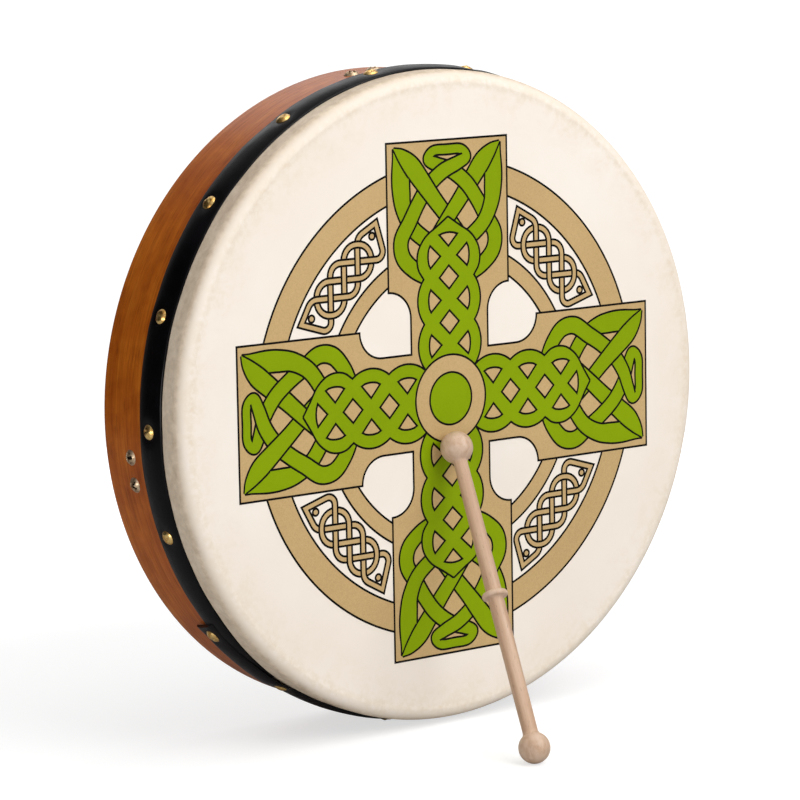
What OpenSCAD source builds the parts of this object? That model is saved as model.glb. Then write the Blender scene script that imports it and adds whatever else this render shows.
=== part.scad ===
// Frame drum with a nailed-on skin, crossbars and a double-ended beater, in millimetres.
// Z is up and the floor is Z = 0. The drum stands on its rim with its axis along Y and its
// painted skin facing -Y. The origin is under the middle of the drum and beater together.

/* [Shell] */

// outside diameter of the bent-wood shell
shell_d = 457.2; // [350:0.1:510]
// depth from the front of the skin to the back edge of the shell
drum_depth = 93; // [60:1:160]
// thickness of the shell's wall
shell_wall = 9; // [6:0.5:14]
// radius of the round-over on the outside of the bearing edge
bearing_r = 8; // [4:0.5:9]
// radius that softens the shell's back corners
back_r = 1.5; // [0.5:0.25:3]

/* [Skin] */

// thickness of the goatskin
skin_t = 0.6; // [0.4:0.05:1.2]
// how far back the skin's skirt reaches under the band
skirt_depth = 43; // [30:1:60]

/* [Band] */

// distance of the band's front edge from the front of the skin
band_front = 20; // [12:0.5:30]
// width of the band
band_w = 26; // [15:0.5:40]
// thickness of the band at its edges
band_edge_t = 1.3; // [0.5:0.1:2]
// thickness of the band at its crown
band_crown_t = 3.3; // [0.8:0.1:5]
// angle where the band's top end begins, seen from the front
lap_from = 218; // [0:1:359]
// angle covered by the lapped end
lap_span = 17; // [5:1:30]
// how far the lapped end sits behind the layer under it
lap_back = 9; // [0:0.5:14]
// how far the lapped end is pressed into the layer under it
lap_sink = 1.3; // [0.3:0.1:2]

/* [Tacks] */

// number of dome-headed tacks round the band
tack_count = 18; // [8:1:40]
// diameter of a tack's head
tack_d = 10.8; // [6:0.1:14]
// height of a tack's dome
tack_h = 2.6; // [1:0.1:4]
// distance of the tacks from the front of the skin
tack_y = 33; // [20:0.5:50]
// how many degrees each tack strays from its even place, as they are set by eye
tack_stray = [0.4, -0.6, 0.8, -0.3, -1.0, 0, -0.1, 0.3, 1.3, 0.7, -0.8, 0.4, -3.7, 0.6, -0.8, 0.2, 0.9, -0.5]; // [-4:0.1:4]

/* [Crossbars] */

// width of a crossbar
bar_w = 35; // [20:1:50]
// thickness of a crossbar
bar_t = 15; // [8:0.5:24]
// distance of the crossbars' middle from the front of the skin
bar_y = 62; // [40:1:100]
// angle of the first crossbar from level
bar_turn = 8.4; // [0:0.1:45]
// angle of the upright bar, counted the same way
upright_turn = 96.4; // [80:0.1:140]
// distance between the two screws at a crossbar's end
screw_gap = 19.4; // [10:0.1:28]
// diameter of a screw's head
screw_d = 10.8; // [5:0.1:12]
// height of a screw's head
screw_h = 2.8; // [1:0.1:4]
// diameter of a screw's shank
shank_d = 4; // [2.5:0.1:5]
// length of a screw's shank
shank_l = 34; // [15:1:60]

/* [Beater] */

// distance between the centres of the beater's two balls
beater_cc = 223.6; // [150:0.1:300]
// radius of the ball on the floor
foot_r = 10.9; // [8:0.1:16]
// radius of the ball that leans on the skin
tip_r = 11.5; // [8:0.1:16]
// radius of the shaft at its middle
shaft_mid_r = 5.6; // [3:0.1:8]
// radius of the shaft beside the tip ball
shaft_tip_r = 4.8; // [3:0.1:8]
// radius of the shaft beside the foot ball
shaft_foot_r = 5.3; // [3:0.1:8]
// radius of the turned ring at the middle
ring_r = 9.1; // [6:0.1:12]
// sideways place of the foot ball, from the drum's axis
foot_x = -33.9; // [-100:0.1:100]
// sideways place of the tip ball
tip_x = -4.9; // [-100:0.5:100]
// how far in front of the skin the foot ball stands
foot_out = 128.5; // [80:0.5:200]

/* [Printed cross] */

// half the span of the cross
cross_half = 181.4; // [120:0.1:210]
// half the width of an arm at its end
arm_half = 53.1; // [30:0.1:70]
// distance of an arm's shoulder from the centre
shoulder = 78.6; // [60:0.1:100]
// half the width of an arm at its waist
waist_half = 34; // [20:0.5:50]
// outer and inner radius of the large ring
ring_out = 168; // [120:0.5:200]
ring_in = 148.5; // [100:0.5:190]
// outer and inner radius of the small ring
small_out = 110; // [90:0.5:140]
small_in = 98; // [80:0.5:130]
// radius of the boss at the centre
boss_r = 31; // [15:0.5:60]
// radius of the disc inside the boss
disc_r = 18.5; // [8:0.5:40]
// width of the black lines
line_w = 1.2; // [0.5:0.1:3]
// thickness of the ink
ink_t = 0.12; // [0.05:0.01:0.3]

/* [Hidden] */

fit = 0.05;                                // gap between wood, skin and band
shell_r = shell_d / 2;
shell_in = shell_r - shell_wall;
edge_c = shell_r - bearing_r;              // centre of the round-over, from the axis
edge_y = skin_t + fit + bearing_r;         // centre of the round-over, from the front
skin_in = shell_r + fit;
skin_out = skin_in + skin_t;
band_in = skin_out + fit;
band_r = band_in + band_crown_t;           // the drum stands on the band's crown
axis_h = band_r;
crown_flat = band_w - 8;                   // width of the flat part of the band's crown

tip_gap = 0.4;                             // air between the tip ball and the ink
tip_y = -(tip_r + ink_t + tip_gap);
foot_z = foot_r - axis_h;
rise = sqrt(pow(beater_cc, 2) - pow(tip_x - foot_x, 2) - pow(tip_y + foot_out, 2));
y_shift = (foot_out + foot_r - drum_depth) / 2;

// Puts what is drawn about the drum's axis, front of the skin at Y = 0, on the floor.
module place() translate([0, y_shift, axis_h]) children();

// Turns a profile drawn as (distance from the axis, depth from the front) about the Y axis.
module lathe() rotate([-90, 0, 0]) rotate_extrude($fn = 180) children();

// Stands a child on the side of the drum, its Z pointing out, at an angle seen from the front.
module on_side(angle, r, y) rotate([0, -angle, 0]) translate([r, y, 0]) rotate([0, 90, 0]) children();

// Draws a flat shape on the front of the skin.
module printed() rotate([90, 0, 0]) linear_extrude(ink_t) children();

// ---- drum ----

module shell_profile() {
    difference() {
        translate([shell_in, skin_t + fit]) square([shell_wall, drum_depth - skin_t - fit]);
        translate([edge_c, 0]) square([bearing_r + 1, edge_y]);
        translate([shell_r - back_r, drum_depth - back_r]) square(back_r + 1);
        translate([shell_in - 1, drum_depth - back_r]) square(back_r + 1);
    }
    intersection() {
        translate([edge_c, edge_y]) circle(bearing_r, $fn = 96);
        translate([edge_c, 0]) square([bearing_r + 1, edge_y]);
    }
    for (x = [shell_in + back_r, shell_r - back_r])
        translate([x, drum_depth - back_r]) circle(back_r, $fn = 48);
}

module shell() color([0.5, 0.24, 0.1]) place() lathe() shell_profile();

module drumhead() color([0.93, 0.89, 0.82]) place() lathe() {
    square([edge_c, skin_t]);
    intersection() {
        difference() {
            translate([edge_c, edge_y]) circle(bearing_r + fit + skin_t, $fn = 96);
            translate([edge_c, edge_y]) circle(bearing_r + fit, $fn = 96);
        }
        translate([edge_c, -1]) square([bearing_r + skin_t + 1, edge_y + 1]);
    }
    translate([skin_in, edge_y]) square([skin_t, skirt_depth - edge_y]);
}

// The band's cross-section, lying on a radius.
module band_profile(r, front) {
    bevel = (band_w - crown_flat) / 2;
    polygon([[r, front], [r + band_edge_t, front], [r + band_crown_t, front + bevel],
             [r + band_crown_t, front + band_w - bevel], [r + band_edge_t, front + band_w],
             [r, front + band_w]]);
}

module band_arc(r, front, from, span)
    rotate([-90, 0, 0]) rotate([0, 0, -(from + span)])
        rotate_extrude(angle = span, $fn = 180) band_profile(r, front);

// One strip goes right round, and its top end laps over the start.
module trim_band() color([0.03, 0.03, 0.035]) place() {
    lathe() band_profile(band_in, band_front);
    band_arc(band_in + band_crown_t - lap_sink, band_front + lap_back, lap_from, lap_span);
}

module tack() {
    cap_r = (pow(tack_d / 2, 2) + pow(tack_h, 2)) / (2 * tack_h);
    rotate_extrude($fn = 48) {
        intersection() {
            translate([0, tack_h - cap_r]) circle(cap_r, $fn = 96);
            square([tack_d, tack_h + 1]);
        }
        translate([0, -9.5]) square([0.9, 9.6]);
    }
}

// Where the lapped end lies, its tack sits on top of it and further back.
module dome_tacks() color([0.8, 0.6, 0.25]) place()
    for (i = [0:tack_count - 1]) {
        angle = i * 360 / tack_count + tack_stray[i % len(tack_stray)];
        lapped = angle > lap_from && angle < lap_from + lap_span;
        on_side(angle, band_r + fit + (lapped ? band_crown_t - lap_sink : 0), tack_y + (lapped ? lap_back : 0))
            tack();
    }

// A bar with chamfered edges that ends on the inside of the shell, before it is notched.
module bar(turn) {
    c = 2;
    w = bar_w / 2;
    t = bar_t / 2;
    intersection() {
        rotate([0, -turn, 0]) translate([-shell_r, bar_y, 0]) rotate([90, 0, 90])
            linear_extrude(2 * shell_r)
                polygon([[-t + c, -w], [t - c, -w], [t, -w + c], [t, w - c],
                         [t - c, w], [-t + c, w], [-t, w - c], [-t, -w + c]]);
        lathe() square([shell_in - 0.1, drum_depth]);
    }
}

// The notch of a half-lap joint, on one side of the bars' middle.
module notch(turn, y)
    rotate([0, -turn, 0])
        translate([-bar_w / 2 - 0.1, y, -bar_w]) cube([bar_w + 0.2, bar_t, 2 * bar_w]);

module crossbar_level() color([0.72, 0.55, 0.36]) place() difference() {
    bar(bar_turn);
    notch(upright_turn - 90, bar_y - fit);
}

module crossbar_upright() color([0.72, 0.55, 0.36]) place() difference() {
    bar(upright_turn);
    notch(bar_turn + 90, bar_y + fit - bar_t);
}

// A raised-head screw with a cross recess.
module screw() {
    cap_r = (pow(screw_d / 2, 2) + pow(screw_h, 2)) / (2 * screw_h);
    difference() {
        rotate_extrude($fn = 48) {
            intersection() {
                translate([0, screw_h - cap_r]) circle(cap_r, $fn = 96);
                square([screw_d, screw_h + 1]);
            }
            translate([0, -shank_l]) square([shank_d / 2, shank_l + 0.1]);
        }
        for (a = [0, 90]) rotate([0, 0, a])
            translate([-2.6, -0.6, screw_h - 1.5]) cube([5.2, 1.2, 3]);
    }
}

module crossbar_screws() color([0.62, 0.62, 0.63]) place() {
    half = asin(screw_gap / 2 / shell_r);
    for (turn = [bar_turn, upright_turn], end = [0, 180], side = [-1, 1])
        on_side(turn + end + side * half, shell_r + fit, bar_y) screw();
}

// ---- printed cross ----

// The cross's outline, grown by g all round. Each arm is wide at its end and narrow at its waist,
// and the inner corners are quarter circles.
module cross_shape(g) {
    corner = arm_half - waist_half;
    for (a = [0, 90]) rotate(a) {
        square([2 * (waist_half + g), 2 * (shoulder + 1)], center = true);
        for (s = [-1, 1]) difference() {
            translate([0, s * (cross_half + shoulder - corner) / 2])
                square([2 * (arm_half + g), cross_half - shoulder + corner + 2 * g], center = true);
            for (x = [-1, 1])
                translate([x * arm_half, s * (shoulder - corner)]) {
                    circle(corner - g, $fn = 96);
                    translate([0, -s * corner]) square(2 * (corner - g), center = true);
                }
        }
    }
}

module disc_ring(r_out, r_in) difference() {
    circle(r_out, $fn = 180);
    circle(r_in, $fn = 180);
}

module line_ring(r) disc_ring(r + line_w / 2, r - line_w / 2);

// The green field on one arm: a plain strip that opens into a square terminal.
module green_shape() for (a = [0:90:270]) rotate(a) {
    translate([-26, 12]) square([52, shoulder - 6]);
    translate([-47, shoulder + 6]) square([94, cross_half - shoulder - 10.5]);
}

module ink_green() color([0.42, 0.55, 0.02]) place() printed() {
    circle(disc_r - line_w / 2, $fn = 96);
    difference() {
        green_shape();
        circle(boss_r + line_w / 2, $fn = 96);
    }
}

module ink_tan() color([0.68, 0.54, 0.33]) place() printed() {
    difference() {
        cross_shape(-line_w / 2);
        green_shape();
        circle(boss_r + line_w / 2, $fn = 96);
    }
    disc_ring(boss_r - line_w / 2, disc_r + line_w / 2);
    difference() {
        union() {
            disc_ring(ring_out - line_w / 2, ring_in + line_w / 2);
            disc_ring(small_out - line_w / 2, small_in + line_w / 2);
        }
        cross_shape(line_w / 2);
    }
}

module ink_black() color([0.02, 0.02, 0.02]) place() printed() {
    difference() {
        cross_shape(line_w / 2);
        cross_shape(-line_w / 2);
    }
    difference() {
        for (r = [ring_out, ring_in, small_out, small_in]) line_ring(r);
        cross_shape(0);
    }
    line_ring(disc_r);
}

// ---- beater ----

// One turned piece: a ball at each end, a shaft that swells to its middle, and a ring there.
module beater() color([0.8, 0.66, 0.52]) place() {
    along = [tip_x - foot_x, tip_y + foot_out, rise];
    translate([foot_x, -foot_out, foot_z])
        rotate([0, acos(along[2] / beater_cc), atan2(along[1], along[0])])
            rotate_extrude($fn = 96) intersection() {
                union() {
                    circle(foot_r, $fn = 96);
                    translate([0, beater_cc]) circle(tip_r, $fn = 96);
                    polygon([[0, 0], [shaft_foot_r, 0], [shaft_mid_r, beater_cc / 2],
                             [shaft_tip_r, beater_cc], [0, beater_cc]]);
                    translate([ring_r - 1.6, beater_cc / 2]) circle(1.6, $fn = 48);
                    polygon([[0, beater_cc / 2 - 2.6], [shaft_mid_r, beater_cc / 2 - 2.6],
                             [ring_r - 1.6, beater_cc / 2 - 1.5], [ring_r - 1.6, beater_cc / 2 + 1.5],
                             [shaft_mid_r, beater_cc / 2 + 2.6], [0, beater_cc / 2 + 2.6]]);
                }
                translate([0, -20]) square([20, beater_cc + 40]);
            }
}

shell();
drumhead();
trim_band();
dome_tacks();
crossbar_level();
crossbar_upright();
crossbar_screws();
ink_tan();
ink_green();
ink_black();
beater();
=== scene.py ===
"""The looks of a frame drum with its beater: bent-wood shell, goatskin with a printed ringed
cross, nailed band, crossbars and a turned beater.

Pieces are drawn in millimetres about the drum's axis, as (across, depth from the front of the
skin, up), and place() sets them in the frame, in metres."""

import math

import bmesh
import bpy
import numpy as np
from mathutils import Matrix, Vector
from mathutils.geometry import delaunay_2d_cdt


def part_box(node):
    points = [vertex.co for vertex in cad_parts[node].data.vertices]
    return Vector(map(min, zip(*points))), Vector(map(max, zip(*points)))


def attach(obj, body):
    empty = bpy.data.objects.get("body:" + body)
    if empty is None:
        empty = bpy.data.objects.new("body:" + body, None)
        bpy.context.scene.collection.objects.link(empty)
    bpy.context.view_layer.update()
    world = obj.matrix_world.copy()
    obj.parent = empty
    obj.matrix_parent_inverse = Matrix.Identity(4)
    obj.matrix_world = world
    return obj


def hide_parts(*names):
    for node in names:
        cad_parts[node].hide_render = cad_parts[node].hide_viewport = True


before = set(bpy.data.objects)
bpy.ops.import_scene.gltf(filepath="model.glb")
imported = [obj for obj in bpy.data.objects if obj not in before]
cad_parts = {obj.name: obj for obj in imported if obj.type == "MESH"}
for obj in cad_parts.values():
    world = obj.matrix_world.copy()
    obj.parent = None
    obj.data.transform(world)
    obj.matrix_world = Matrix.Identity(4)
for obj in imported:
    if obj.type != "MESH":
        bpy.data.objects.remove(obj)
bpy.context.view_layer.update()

# ---- sizes, from the frame ----

MM = 0.001
SKIN_BOX, SHELL_BOX, BAND_BOX = (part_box(n) for n in ("drumhead", "shell", "trim_band"))
FRONT = SKIN_BOX[0].y                                   # front of the skin, metres
AXIS = (SKIN_BOX[0].z + SKIN_BOX[1].z) / 2              # height of the drum's axis, metres
SKIN_R = (SKIN_BOX[1].x - SKIN_BOX[0].x) / 2 / MM
SHELL_R = (SHELL_BOX[1].x - SHELL_BOX[0].x) / 2 / MM
BAND_R = (BAND_BOX[1].z - BAND_BOX[0].z) / 2 / MM
SKIRT = (SKIN_BOX[1].y - FRONT) / MM                    # how far back the skin reaches
BAND_FRONT = (BAND_BOX[0].y - FRONT) / MM
DEPTH = (SHELL_BOX[1].y - FRONT) / MM                   # of the whole drum
WALL = 9.0                                              # thickness of the shell
SKIN_T = 0.6                                            # thickness of the skin
EDGE_R = 8.65                                           # outer round-over of the skin's edge
BAND_W = 26.0                                           # width of the band
BAND_T = 3.3                                            # thickness of the band at its crown
TACKS = 18
TACK_H = 2.6                                            # height of a tack's dome
BAR_TURN = 8.4                                          # degrees of the first crossbar from level
UPRIGHT_TURN = 96.4                                     # and of the second
BAR_DEPTH = 62.0
SCREW_GAP = 19.4
LAP_FROM, LAP_TO, LAP_STRAIGHT = 217.5, 233.0, 248.0    # degrees where the band laps over itself
LAP_BACK = 9.0                                          # how far back the top end sits
FOOT_R, TIP_R = 10.9, 11.5                              # the beater's balls


def place(points):
    """Millimetres about the drum's axis as metres in the frame."""
    return np.asarray(points, float) * MM + (0.0, FRONT, AXIS)


def smoothstep(low, high, x):
    """0 below low and 1 above high, with a smooth rise between. low may be the larger."""
    t = np.clip((x - low) / (high - low), 0, 1)
    return t * t * (3 - 2 * t)


def ripple(x, waves, seed):
    """A smooth wandering line between about -1 and 1 that repeats after 360 degrees."""
    draw = np.random.default_rng(seed)
    counts = draw.integers(max(1, waves // 3), waves + 1, 6)
    return sum(np.sin(np.radians(x) * n + p) for n, p in zip(counts, draw.uniform(0, 6.28, 6))) / 3


def arc(cx, cy, r, start, end, step=4.0):
    """Points on a circle from one angle to another, in degrees."""
    a = np.radians(np.linspace(start, end, max(2, int(abs(end - start) / step) + 1)))
    return np.c_[cx + r * np.cos(a), cy + r * np.sin(a)]


# ---- meshes ----


def piece(name, points, faces, material, replaces=(), body="drum", uvs=None, sharp=40):
    """A mesh object from points in metres, which rides on a body and stands for CAD nodes. It is
    smooth where its faces meet at less than sharp degrees, and left as it is where sharp is 0."""
    mesh = bpy.data.meshes.new(name)
    mesh.from_pydata(np.asarray(points).tolist(), [], [[int(i) for i in face] for face in faces])
    if uvs is not None:
        mesh.uv_layers.new(name="grain").data.foreach_set("uv", np.asarray(uvs, np.float32).ravel())
    if sharp:
        bm = bmesh.new()
        bm.from_mesh(mesh)
        bmesh.ops.remove_doubles(bm, verts=bm.verts, dist=1e-7)
        bmesh.ops.recalc_face_normals(bm, faces=bm.faces)
        bm.to_mesh(mesh)
        bm.free()
        mesh.shade_smooth()
        mesh.set_sharp_from_angle(angle=math.radians(sharp))
    mesh.materials.append(material)
    obj = bpy.data.objects.new(name, mesh)
    bpy.context.scene.collection.objects.link(obj)
    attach(obj, body)
    if replaces:
        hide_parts(*replaces)
    return obj


def grid_faces(rows, columns, wrap_rows, wrap_columns):
    """Quads between the points of a grid that are numbered row by row."""
    i, j = np.meshgrid(np.arange(rows - (not wrap_rows)), np.arange(columns - (not wrap_columns)),
                       indexing="ij")
    i2, j2 = (i + 1) % rows, (j + 1) % columns
    corners = [i * columns + j, i * columns + j2, i2 * columns + j2, i2 * columns + j]
    return np.stack([c.ravel() for c in corners], axis=1)


def grid_uvs(u, v):
    """Corner coordinates for grid_faces: u per row and v per column, one more where it wraps."""
    a, b = np.meshgrid(u[:-1], v[:-1], indexing="ij")
    a2, b2 = np.meshgrid(u[1:], v[1:], indexing="ij")
    corners = [(a, b), (a, b2), (a2, b2), (a2, b)]
    return np.stack([np.c_[x.ravel(), y.ravel()] for x, y in corners], axis=1)


def lathe(profile, steps, start=270.0, bend=None):
    """A closed outline of (radius, depth) turned about the drum's axis: points, quads, UVs in
    metres along the rim and along the outline. bend(radius, depth, degrees) may shift them."""
    profile = np.asarray(profile, float)
    angle = start + np.arange(steps + 1) * 360 / steps
    r, y = (np.tile(profile[:, i], (steps, 1)) for i in (0, 1))
    if bend:
        r, y = bend(r, y, angle[:-1, None])
    a = np.radians(angle[:-1, None])
    points = np.stack([r * np.cos(a), y, r * np.sin(a)], axis=2).reshape(-1, 3)
    ring = np.vstack([profile, profile[:1]])
    along = np.r_[0, np.cumsum(np.linalg.norm(np.diff(ring, axis=0), axis=1))] * MM
    uvs = grid_uvs(np.radians(angle) * SHELL_R * MM, along)
    return points, grid_faces(steps, len(profile), True, True), uvs


def stud(profile, steps, dent=None):
    """A small turned part about its own Z axis, from an open outline of (radius, height).
    dent(x, y, height) gives new heights."""
    profile = np.asarray(profile, float)
    a = np.radians(np.arange(steps) * 360 / steps)[:, None]
    x, y = profile[:, 0] * np.cos(a), profile[:, 0] * np.sin(a)
    z = np.tile(profile[:, 1], (steps, 1))
    if dent:
        z = dent(x, y, z)
    return np.stack([x, y, z], axis=2).reshape(-1, 3), grid_faces(steps, len(profile), True, False)


def on_side(points, angle, radius, depth, spin=0.0):
    """Stands a small part on the side of the drum, its Z pointing out, turned by spin degrees."""
    c, s = math.cos(math.radians(spin)), math.sin(math.radians(spin))
    points = points @ np.array([[c, s, 0], [-s, c, 0], [0, 0, 1]])
    a = math.radians(angle)
    out, tangent = np.array([math.cos(a), 0, math.sin(a)]), np.array([-math.sin(a), 0, math.cos(a)])
    axes = np.array([tangent, [0, 1, 0], out])
    return points @ axes + out * radius + (0, depth, 0)


def gather(parts):
    """Several (points, faces) as one."""
    points, faces, start = [], [], 0
    for p, f in parts:
        points.append(p)
        faces += [[i + start for i in face] for face in f]
        start += len(p)
    return np.vstack(points), faces


# ---- materials ----


class Shader:
    """A Principled material with short calls for the nodes that feed it."""

    def __init__(self, name, **sockets):
        self.material = bpy.data.materials.new(name)
        self.material.use_nodes = True
        self.nodes, self.links = self.material.node_tree.nodes, self.material.node_tree.links
        self.shader = self.nodes["Principled BSDF"]
        for socket, value in sockets.items():
            self.shader.inputs[socket.replace("_", " ")].default_value = value

    def node(self, kind, inputs=(), **settings):
        n = self.nodes.new("ShaderNode" + kind)
        for key, value in settings.items():
            setattr(n, key, value)
        for socket, value in dict(inputs).items():
            self.feed(n.inputs[socket], value)
        return n

    def feed(self, socket, value):
        if isinstance(value, bpy.types.NodeSocket):
            self.links.new(value, socket)
        elif socket.type == "RGBA" and not isinstance(value, float):
            socket.default_value = (*value[:3], 1)
        else:
            socket.default_value = value

    def place(self, scale=(1, 1, 1), turn=(0, 0, 0), uv=False):
        """Coordinates in metres: along the piece's grain, or in space."""
        source = (self.node("UVMap", uv_map="grain").outputs["UV"] if uv
                  else self.node("TexCoord").outputs["Object"])
        spun = self.node("Mapping", {"Vector": source, "Rotation": [math.radians(t) for t in turn]})
        return self.node("Mapping", {"Vector": spun.outputs[0], "Scale": scale}).outputs[0]

    def noise(self, where, scale, detail=4.0, rough=0.55, warp=0.0):
        return self.node("TexNoise", {"Vector": where, "Scale": scale, "Detail": detail,
                                      "Roughness": rough, "Distortion": warp}).outputs["Fac"]

    def scaled(self, where, scale):
        return self.node("Mapping", {"Vector": where, "Scale": scale}).outputs[0]

    def between(self, value, low, high):
        """Goes from 0 to 1 as the value goes from low to high."""
        return self.node("MapRange", {"Value": value, "From Min": low, "From Max": high}).outputs[0]

    def ramp(self, value, *stops):
        """Colours or grey levels at places from 0 to 1."""
        n = self.node("ValToRGB", {"Fac": value})
        elements = n.color_ramp.elements
        while len(elements) < len(stops):
            elements.new(0.5)
        for element, (at, colour) in zip(elements, stops):
            element.position = at
            element.color = (*colour, 1) if isinstance(colour, tuple) else (colour,) * 3 + (1,)
        return n.outputs["Color"]

    def mix(self, a, b, share, kind="MIX"):
        n = self.node("Mix", data_type="RGBA", blend_type=kind)
        for socket, value in ((n.inputs["Factor"], share), (n.inputs["A"], a), (n.inputs["B"], b)):
            self.feed(socket, (*value, 1) if isinstance(value, tuple) else value)
        return n.outputs["Result"]

    def sum(self, a, b, kind="ADD"):
        return self.node("Math", {0: a, 1: b}, operation=kind).outputs[0]

    def bump(self, *layers):
        """Layers of (height, strength, distance in metres), one on another."""
        normal = None
        for height, strength, distance in layers:
            n = self.node("Bump", {"Height": height, "Strength": strength, "Distance": distance})
            if normal:
                self.links.new(normal, n.inputs["Normal"])
            normal = n.outputs["Normal"]
        self.links.new(normal, self.shader.inputs["Normal"])

    def set(self, socket, value):
        self.feed(self.shader.inputs[socket], value)


def srgb(r, g, b):
    """A colour given as 0 to 255 screen values, as the linear values that shaders use."""
    return tuple(((c / 255 + 0.055) / 1.055) ** 2.4 if c > 10 else c / 255 / 12.92
                 for c in (r, g, b))


def lacquered_wood(name, tones, uv, turn=(0, 0, 0)):
    """Hardwood under thin lacquer, its grain along X of the coordinates. The tones go from dark
    to light."""
    m = Shader(name, Roughness=0.45, IOR=1.5, Coat_Weight=0.15, Coat_Roughness=0.22)
    m.set("Specular IOR Level", 0.12)
    where = m.place(turn=turn, uv=uv)
    bands = m.noise(m.scaled(where, (5.0, 110.0, 110.0)), 1.0, 5, 0.6, 0.8)
    fibres = m.noise(m.scaled(where, (22.0, 520.0, 520.0)), 1.0, 5, 0.65)
    pores = m.noise(m.scaled(where, (60.0, 900.0, 900.0)), 1.0, 2, 0.5)
    cloud = m.noise(where, 26.0, 4, 0.6, 0.5)
    patch = m.noise(where, 48.0, 4, 0.6, 0.8)
    white = (1.0, 1.0, 1.0)
    body = m.ramp(bands, *zip((0.25, 0.52, 0.8), tones))
    body = m.mix(body, m.ramp(fibres, (0.3, 0.62), (0.6, 1.0)), 0.6, "MULTIPLY")
    body = m.mix(body, m.ramp(cloud, (0.35, srgb(226, 208, 176)), (0.62, white)), 0.7, "MULTIPLY")
    body = m.mix(body, m.ramp(patch, (0.38, srgb(228, 212, 180)), (0.56, white)), 0.5, "MULTIPLY")
    specks = m.ramp(pores, (0.60, 1.0), (0.68, 0.55))
    body = m.mix(body, specks, 0.75, "MULTIPLY")
    m.set("Base Color", body)
    m.set("Roughness", m.ramp(fibres, (0.3, 0.5), (0.7, 0.36)))
    m.bump((fibres, 0.25, 0.0002), (specks, 0.2, 0.0001))
    return m.material


def goatskin():
    """Cream skin, mottled beige toward the rim, with pores and faint fibres. Its side and round-over are
    darker: partly stain, partly painted shade.
    """
    m = Shader("goatskin", Roughness=0.6, IOR=1.45)
    m.set("Specular IOR Level", 0.2)
    where = m.place()
    cloud = m.noise(where, 7.0, 4, 0.55, 0.4)
    blotch = m.noise(where, 42.0, 5, 0.62, 0.6)
    pores = m.noise(where, 1500.0, 2, 0.5)
    split = m.node("SeparateXYZ", {"Vector": where})
    x, z = split.outputs["X"], m.sum(split.outputs["Z"], AXIS, "SUBTRACT")
    radius = m.node("Math", {0: m.sum(m.sum(x, x, "MULTIPLY"), m.sum(z, z, "MULTIPLY"))},
                    operation="SQRT").outputs[0]
    rim = m.between(radius, 0.188, 0.221)
    beige = m.sum(rim, m.ramp(blotch, (0.40, 0.15), (0.68, 1.0)), "MULTIPLY")
    body = m.ramp(cloud, (0.3, srgb(239, 228, 215)), (0.7, srgb(245, 236, 226)))
    speckle = m.noise(where, 210.0, 4, 0.65, 0.3)
    beige = m.sum(beige, m.ramp(speckle, (0.38, 0.35), (0.62, 1.0)), "MULTIPLY")
    body = m.mix(body, srgb(222, 201, 172), m.sum(beige, 0.45, "MULTIPLY"))
    ridge = m.ramp(m.between(radius, 0.2155, 0.2255), (0.0, 0.0), (0.4, 1.0), (0.6, 0.8), (1.0, 0.0))
    ridge = m.sum(ridge, m.ramp(speckle, (0.36, 0.1), (0.6, 1.0)), "MULTIPLY")
    body = m.mix(body, srgb(219, 198, 168), m.sum(ridge, 0.28, "MULTIPLY"))
    # Darker, mottled colour from the round-over down the side: partly the skin's stain, partly painted
    # shade that dulls the round-over.
    side = m.between(split.outputs["Y"], FRONT + 0.0002, FRONT + 0.0055)
    side_mottle = m.mix(blotch, speckle, 0.5)
    side_stain_and_shade = m.ramp(side_mottle, (0.36, srgb(198, 178, 154)), (0.64, srgb(228, 211, 189)))
    body = m.mix(body, side_stain_and_shade, side)
    m.set("Base Color", body)
    angle = m.node("Math", {0: z, 1: x}, operation="ARCTAN2").outputs[0]
    across = m.node("CombineXYZ", {"X": m.sum(angle, 60.0, "MULTIPLY"),
                                   "Y": m.sum(split.outputs["Y"], 30.0, "MULTIPLY")})
    wrinkles = m.sum(m.noise(across.outputs[0], 1.0, 5, 0.7, 0.3), side, "MULTIPLY")
    m.bump((pores, 0.12, 0.00008), (speckle, 0.07, 0.0003), (blotch, 0.06, 0.0004),
           (wrinkles, 0.4, 0.0006))
    return m.material


def ink(name, dark, light, speck):
    """Screen-printed ink with a fine grain, on skin."""
    m = Shader(name, Roughness=0.6, IOR=1.45)
    m.set("Specular IOR Level", 0.1)
    where = m.place()
    grain = m.noise(where, 1100.0, 3, 0.6)
    cloud = m.noise(where, 12.0, 3, 0.5)
    body = m.ramp(m.mix(grain, cloud, 1 - speck), (0.3, dark), (0.7, light))
    m.set("Base Color", body)
    m.bump((m.noise(where, 1500.0, 2, 0.5), 0.1, 0.00008))
    return m.material


def vinyl():
    """Black leathercloth with a fine pebble grain and a soft sheen."""
    m = Shader("band_vinyl", Roughness=0.4, IOR=1.5, Coat_Weight=0.2, Coat_Roughness=0.24)
    where = m.place(uv=True)
    pebble = m.node("TexVoronoi", {"Vector": where, "Scale": 1100.0}).outputs["Distance"]
    slow = m.noise(where, 45.0, 4, 0.55)
    m.set("Specular IOR Level", 0.04)
    m.set("Base Color", m.ramp(slow, (0.3, srgb(4, 3, 4)), (0.75, srgb(10, 8, 11))))
    m.set("Roughness", m.ramp(slow, (0.3, 0.34), (0.7, 0.5)))
    m.bump((pebble, 0.25, 0.00025), (slow, 0.4, 0.0012))
    return m.material


def metal(name, bright, dull, roughness):
    """Worn plate: bright, with duller patches and small knocks."""
    m = Shader(name, Metallic=1.0)
    where = m.place()
    patch = m.noise(where, 330.0, 4, 0.6)
    knocks = m.noise(where, 900.0, 3, 0.6)
    m.set("Base Color", m.ramp(patch, (0.35, dull), (0.6, bright)))
    m.set("Roughness", m.ramp(knocks, (0.3, roughness * 0.75), (0.7, roughness * 1.5)))
    m.bump((knocks, 0.18, 0.0002))
    return m.material


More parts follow.
